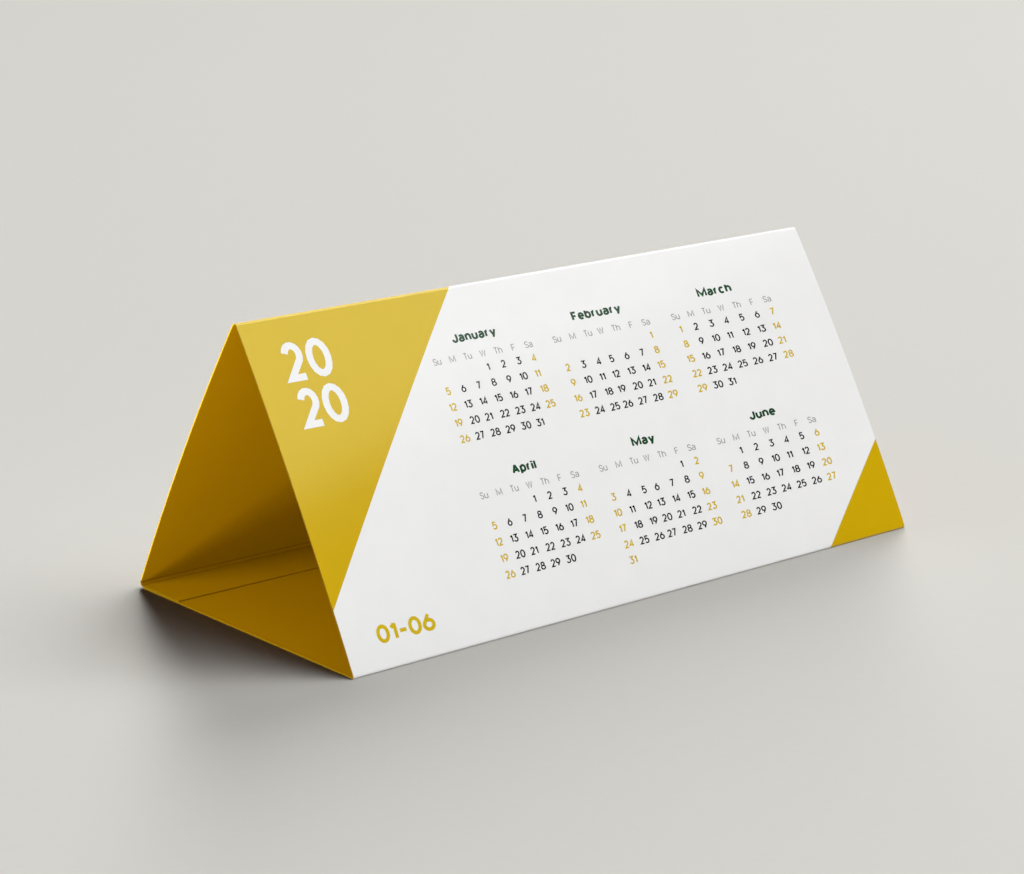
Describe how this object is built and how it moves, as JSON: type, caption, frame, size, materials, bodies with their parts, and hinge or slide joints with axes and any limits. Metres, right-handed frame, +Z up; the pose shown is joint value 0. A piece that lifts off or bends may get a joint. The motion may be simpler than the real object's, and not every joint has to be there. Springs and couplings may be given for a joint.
{
  "type": "desk calendar",
  "caption": "Free-standing tent desk calendar: a printed card folded into an open-ended triangular tube, with months, weekdays and dates on both slopes.",
  "frame": {"origin": "on the table, under the middle of the folded card", "axes": "+X along the ridge, -Y the side that the front panel faces, +Z up"},
  "size_m": [0.21, 0.0996, 0.0853],
  "materials": {
    "card": "white coated board with a satin surface",
    "yellow_print": "golden yellow ink on coated board, satin",
    "black_print": "near-black ink, satin",
    "green_print": "dark green ink, satin",
    "grey_print": "light grey ink, satin",
    "gold_print": "golden yellow ink on white board, satin"
  },
  "bodies": {
    "root": {"folded_card": "card"}
  },
  "joints": []
}
